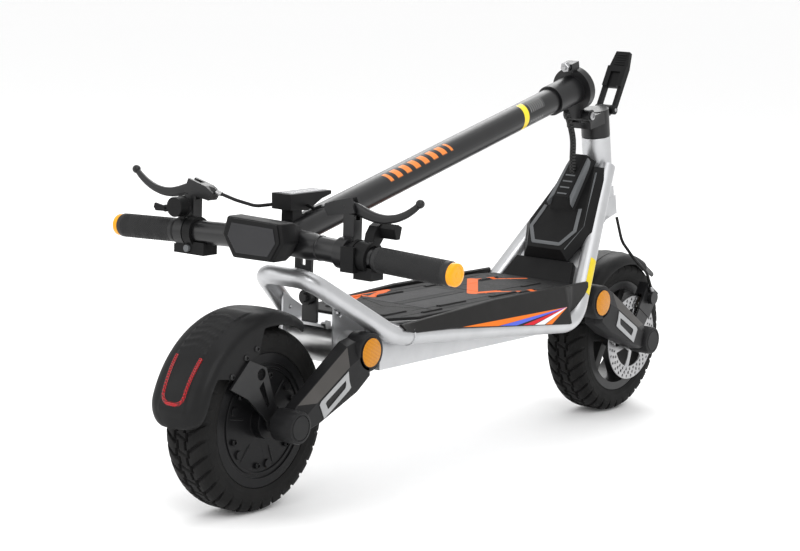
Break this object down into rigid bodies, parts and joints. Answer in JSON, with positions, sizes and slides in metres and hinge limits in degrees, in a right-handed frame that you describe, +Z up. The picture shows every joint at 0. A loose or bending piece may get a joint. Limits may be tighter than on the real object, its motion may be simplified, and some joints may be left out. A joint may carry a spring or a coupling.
{
  "type": "kick scooter",
  "caption": "Folding electric kick scooter, stem folded back over the deck, tubular frame, single-sided fork leg, paired swing arms, hub motor and disc brake.",
  "frame": {"origin": "on the ground under the middle of the box round the folded scooter", "axes": "+X forward along the travel direction, +Y to the rider's left, +Z up"},
  "size_m": [1.1875, 0.6042, 0.5987],
  "materials": {
    "silver_alloy": "satin, fine blasted",
    "black_alloy": "satin black anodised",
    "arm_black": "satin black paint",
    "steel": "brushed",
    "stand_steel": "satin black paint",
    "deck_grey": "matt moulded",
    "black_plastic": "matt moulded",
    "deck_metal": "satin",
    "battery_blue": "satin shrink film",
    "grip_rubber": "knurled matt",
    "cable_black": "matt",
    "orange_plastic": "satin",
    "amber_reflector": "clear prismatic",
    "red_lens": "clear lens",
    "grey_plastic": "satin",
    "brake_pad": "matt",
    "tyre_black": "matt tread"
  },
  "bodies": {
    "frame": {"rear_loop": "silver_alloy", "side_rails": "silver_alloy", "head_tube": "silver_alloy", "rear_gussets": "silver_alloy", "rear_drum": "silver_alloy", "battery_tray": "silver_alloy", "battery_pack": "battery_blue", "deck_plate": "deck_metal", "deck_mat": "deck_grey", "side_fairings": "black_plastic", "neck_panel": "black_plastic", "controller_cover": "black_plastic", "motor_controller": "deck_metal", "headset_bearings": "steel", "latch_keeper": "black_alloy", "cable_sleeve": "cable_black", "stand_bracket": "stand_steel"},
    "kickstand": {"kickstand": "stand_steel"},
    "steering": {"fork": "silver_alloy", "hinge_base": "black_alloy", "hinge_pin": "steel"},
    "fold_lever": {"fold_lever": "black_alloy"},
    "front_arm": {"front_arms": "arm_black", "front_reflectors": "amber_reflector", "front_shafts": "steel", "brake_caliper": "black_alloy", "brake_pads": "brake_pad", "front_fender": "black_plastic", "brake_hose": "cable_black"},
    "front_wheel": {"front_tyre": "tyre_black", "front_rim": "black_alloy", "brake_disc": "steel", "front_bearings": "steel"},
    "rear_arm": {"rear_arms": "arm_black", "rear_reflectors": "amber_reflector", "rear_shafts": "steel", "motor_stator": "steel", "rear_fender": "black_plastic", "tail_light": "red_lens", "fender_stays": "stand_steel"},
    "rear_wheel": {"rear_tyre": "tyre_black", "hub_motor": "black_alloy"},
    "stem": {"stem_tube": "black_alloy", "hinge_head": "black_alloy", "handlebar": "black_alloy", "grips": "grip_rubber", "bar_end_plugs": "orange_plastic", "display": "black_plastic", "headlight": "black_plastic", "lever_brackets": "black_alloy", "bell": "black_plastic", "hook_plate": "stand_steel", "brake_cables": "cable_black", "throttle_ring": "black_plastic", "switch_pod": "black_plastic"},
    "left_brake_lever": {"left_brake_lever": "black_alloy"},
    "right_brake_lever": {"right_brake_lever": "black_alloy"},
    "throttle_paddle": {"throttle_paddle": "black_plastic"},
    "bell_striker": {"bell_striker": "black_plastic"},
    "horn_button": {"horn_button": "grey_plastic"}
  },
  "joints": [
    {"name": "steer", "type": "hinge", "parent": "frame", "child": "steering", "pos_m": [0.4193, 0, 0.384], "axis": [-0.1788, 0, 0.9839], "range_deg": [-40, 40]},
    {"name": "stem_fold", "type": "hinge", "parent": "steering", "child": "stem", "pos_m": [0.35151, 0, 0.49974], "axis": [0, 1, 0], "range_deg": [0, 93.2]},
    {"name": "fold_lever_turn", "type": "hinge", "parent": "steering", "child": "fold_lever", "pos_m": [0.43183, 0, 0.50519], "axis": [0, 1, 0], "range_deg": [0, 55]},
    {"name": "front_suspension", "type": "hinge", "parent": "steering", "child": "front_arm", "pos_m": [0.304, 0, 0.2085], "axis": [0, -1, 0], "range_deg": [0, 7], "stiffness_Nm_per_rad": 260, "springref_deg": -11.46},
    {"name": "front_wheel_spin", "type": "hinge", "parent": "front_arm", "child": "front_wheel", "pos_m": [0.457, 0, 0.1275], "axis": [0, 1, 0], "continuous": true},
    {"name": "rear_suspension", "type": "hinge", "parent": "frame", "child": "rear_arm", "pos_m": [-0.29, 0, 0.2085], "axis": [0, 1, 0], "range_deg": [0, 10], "stiffness_Nm_per_rad": 300, "springref_deg": -11.46},
    {"name": "rear_wheel_spin", "type": "hinge", "parent": "rear_arm", "child": "rear_wheel", "pos_m": [-0.443, 0, 0.1275], "axis": [0, 1, 0], "continuous": true},
    {"name": "left_brake", "type": "hinge", "parent": "stem", "child": "left_brake_lever", "pos_m": [-0.3715, 0.162, 0.41723], "axis": [-1, 0, 0], "range_deg": [0, 6.5], "stiffness_Nm_per_rad": 1.5, "springref_deg": -5.73},
    {"name": "right_brake", "type": "hinge", "parent": "stem", "child": "right_brake_lever", "pos_m": [-0.3715, -0.11, 0.4193], "axis": [1, 0, 0], "range_deg": [0, 6.5], "stiffness_Nm_per_rad": 1.5, "springref_deg": -5.73},
    {"name": "throttle", "type": "hinge", "parent": "stem", "child": "throttle_paddle", "pos_m": [-0.3835, -0.15, 0.35803], "axis": [0, 0.9992, 0.0398], "range_deg": [0, 25], "stiffness_Nm_per_rad": 0.15, "springref_deg": -22.92},
    {"name": "bell_strike", "type": "hinge", "parent": "stem", "child": "bell_striker", "pos_m": [-0.4005, 0.195, 0.38823], "axis": [1, 0, 0], "range_deg": [0, 10], "stiffness_Nm_per_rad": 0.005, "springref_deg": -17.19},
    {"name": "horn_press", "type": "slide", "parent": "stem", "child": "horn_button", "axis": [1, 0, 0], "range_m": [0, 0.003], "stiffness_N_per_m": 20, "springref_m": -0.002},
    {"name": "stand_swing", "type": "hinge", "parent": "frame", "child": "kickstand", "pos_m": [-0.048, 0.112, 0.179], "axis": [0, -1, 0], "range_deg": [0, 92]}
  ]
}
